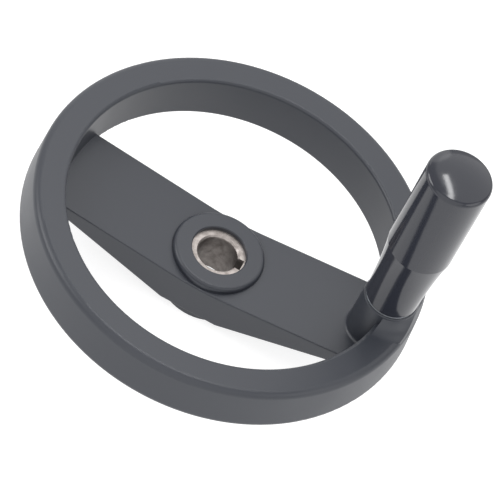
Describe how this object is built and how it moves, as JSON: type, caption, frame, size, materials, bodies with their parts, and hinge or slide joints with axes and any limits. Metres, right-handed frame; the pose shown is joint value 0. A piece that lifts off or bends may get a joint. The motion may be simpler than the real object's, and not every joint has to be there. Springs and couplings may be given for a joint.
{
  "type": "machine handwheel",
  "caption": "Dished machine handwheel: a rim on a flat bar, a keyed steel bush in the hub and a revolving grip on the rim.",
  "frame": {"origin": "on the bore's axis, in the plane of the hub's lower face, which seats on the shaft's shoulder", "axes": "+Z along the bore towards the handle's side, +X from the bore towards the handle"},
  "size_m": [0.16, 0.16, 0.1276],
  "materials": {
    "wheel_plastic": "moulded, fine matt grain",
    "bush_steel": "turned, a little tarnished",
    "insert_brass": "turned",
    "spindle_steel": "zinc plated",
    "ring_steel": "spring steel",
    "grip_plastic": "moulded, polished"
  },
  "bodies": {
    "wheel": {"wheel_body": "wheel_plastic", "hub_bush": "bush_steel", "handle_insert": "insert_brass", "handle_spindle": "spindle_steel", "retaining_ring": "ring_steel"},
    "handle": {"handle_grip": "grip_plastic"}
  },
  "joints": [
    {"name": "grip_turn", "type": "hinge", "parent": "wheel", "child": "handle", "pos_m": [0.066, 0, 0.0469], "axis": [0, 0, 1], "continuous": true}
  ]
}
